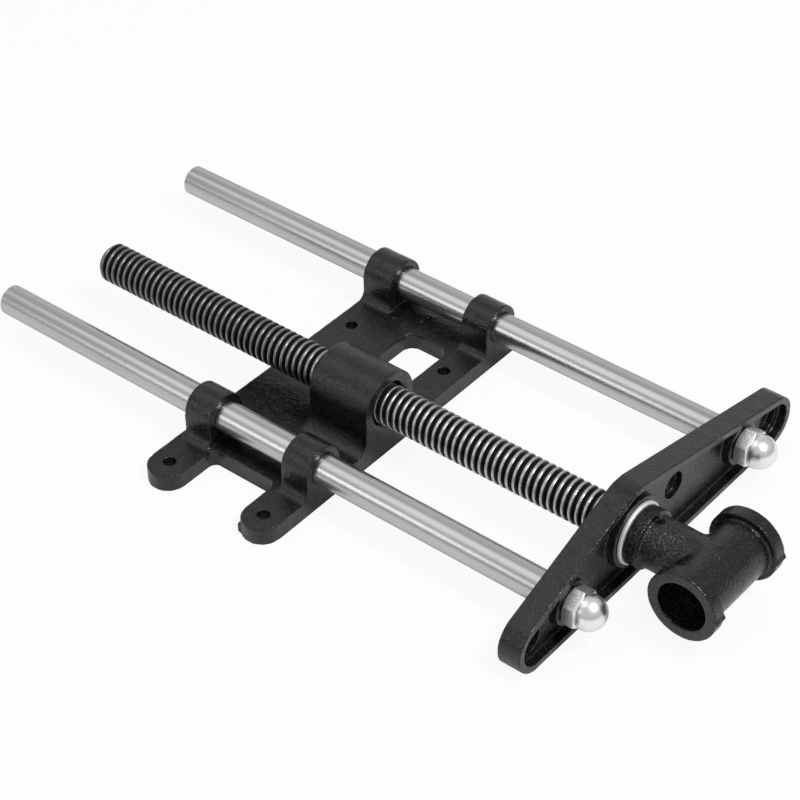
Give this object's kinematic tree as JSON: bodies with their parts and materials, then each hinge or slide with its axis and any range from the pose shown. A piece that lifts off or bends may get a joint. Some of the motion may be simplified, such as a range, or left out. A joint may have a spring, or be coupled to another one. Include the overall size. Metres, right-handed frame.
{
  "type": "woodworking vise",
  "caption": "Front vise hardware for a wooden workbench: cast bracket, twin guide rods, central lead screw, ribbed front plate and a tee hub for a wooden handle.",
  "frame": {"origin": "centre of the four bench holes, on the bracket's mounting face", "axes": "+X along the bench edge from the near rod to the far rod, +Y along the rods and the screw to their rear ends, +Z away from the mounting face"},
  "size_m": [0.2815, 0.5263, 0.068],
  "materials": {
    "black_enamel": "satin black enamel over a cast surface",
    "black_casting": "black, rough sand casting",
    "ground_steel": "ground bright steel",
    "dark_steel": "oiled dark steel with bright thread crests",
    "plated_steel": "bright zinc plating"
  },
  "bodies": {
    "bracket": {"bracket": "black_enamel"},
    "carriage": {"front_plate": "black_enamel", "guide_rod_near": "ground_steel", "guide_rod_far": "ground_steel", "acorn_nut_near": "plated_steel", "acorn_nut_far": "plated_steel", "thrust_washer": "plated_steel"},
    "screw": {"lead_screw": "dark_steel", "tee_hub": "black_casting", "hub_pin": "dark_steel"}
  },
  "joints": [
    {"name": "plate_slide", "type": "slide", "parent": "bracket", "child": "carriage", "axis": [0, 1, 0], "range_m": [-0.1601, 0.1651]},
    {"name": "screw_turn", "type": "hinge", "parent": "carriage", "child": "screw", "pos_m": [0.017, -0.217, 0.0355], "axis": [0, 1, 0], "range_deg": [-11520, 11880]}
  ],
  "couplings": [
    {"joint": "plate_slide", "follows": "screw_turn", "m_per_rad": 0.00079577}
  ]
}
